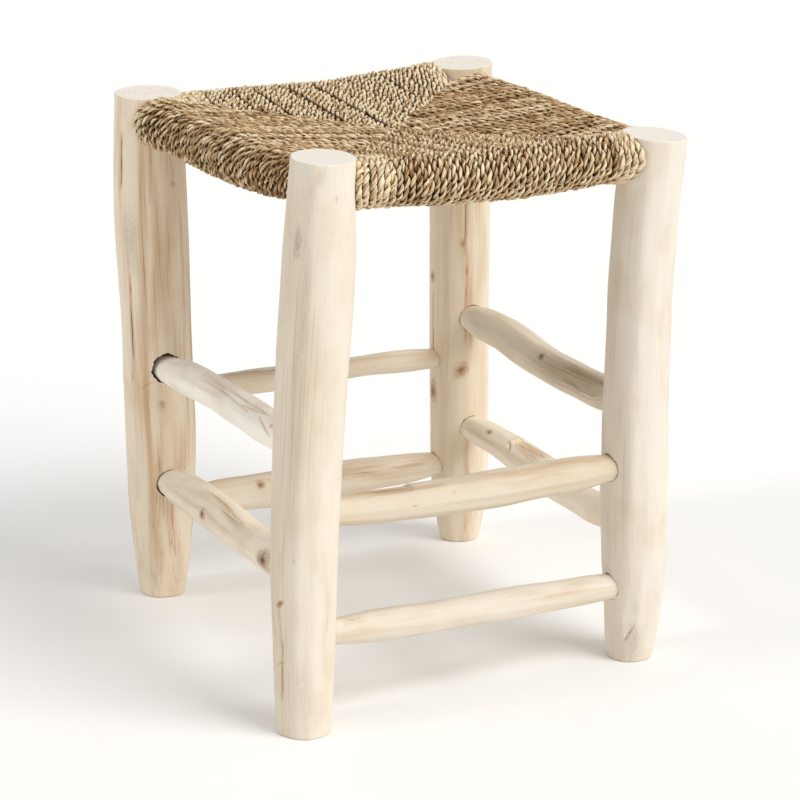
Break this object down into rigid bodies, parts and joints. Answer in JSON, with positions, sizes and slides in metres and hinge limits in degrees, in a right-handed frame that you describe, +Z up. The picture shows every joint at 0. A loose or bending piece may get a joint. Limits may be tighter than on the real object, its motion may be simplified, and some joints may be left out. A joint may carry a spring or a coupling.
{
  "type": "pole stool with woven cord seat",
  "caption": "Low square stool of peeled and whittled poles, with stretchers tenoned between its legs and a cord seat woven round hidden rails in triangles.",
  "frame": {"origin": "on the floor below the middle of the stool's bounding box", "axes": "+Z up, -Y out of the front side, +X to the right of a person who faces the front side"},
  "size_m": [0.3832, 0.3802, 0.458],
  "materials": {
    "leg_wood": "peeled, dry and unfinished",
    "stretcher_wood": "whittled, dry and unfinished",
    "seat_cord": "twisted plant fibre cord, matte"
  },
  "bodies": {
    "root": {"leg_front_left": "leg_wood", "leg_front_right": "leg_wood", "leg_back_right": "leg_wood", "leg_back_left": "leg_wood", "stretcher_front_upper": "stretcher_wood", "stretcher_front_lower": "stretcher_wood", "stretcher_right_upper": "stretcher_wood", "stretcher_right_lower": "stretcher_wood", "stretcher_back_upper": "stretcher_wood", "stretcher_back_lower": "stretcher_wood", "stretcher_left_upper": "stretcher_wood", "stretcher_left_lower": "stretcher_wood", "seat_rail_front": "stretcher_wood", "seat_rail_right": "stretcher_wood", "seat_rail_back": "stretcher_wood", "seat_rail_left": "stretcher_wood", "seat_weave_front": "seat_cord", "seat_weave_right": "seat_cord", "seat_weave_back": "seat_cord", "seat_weave_left": "seat_cord"}
  },
  "joints": []
}
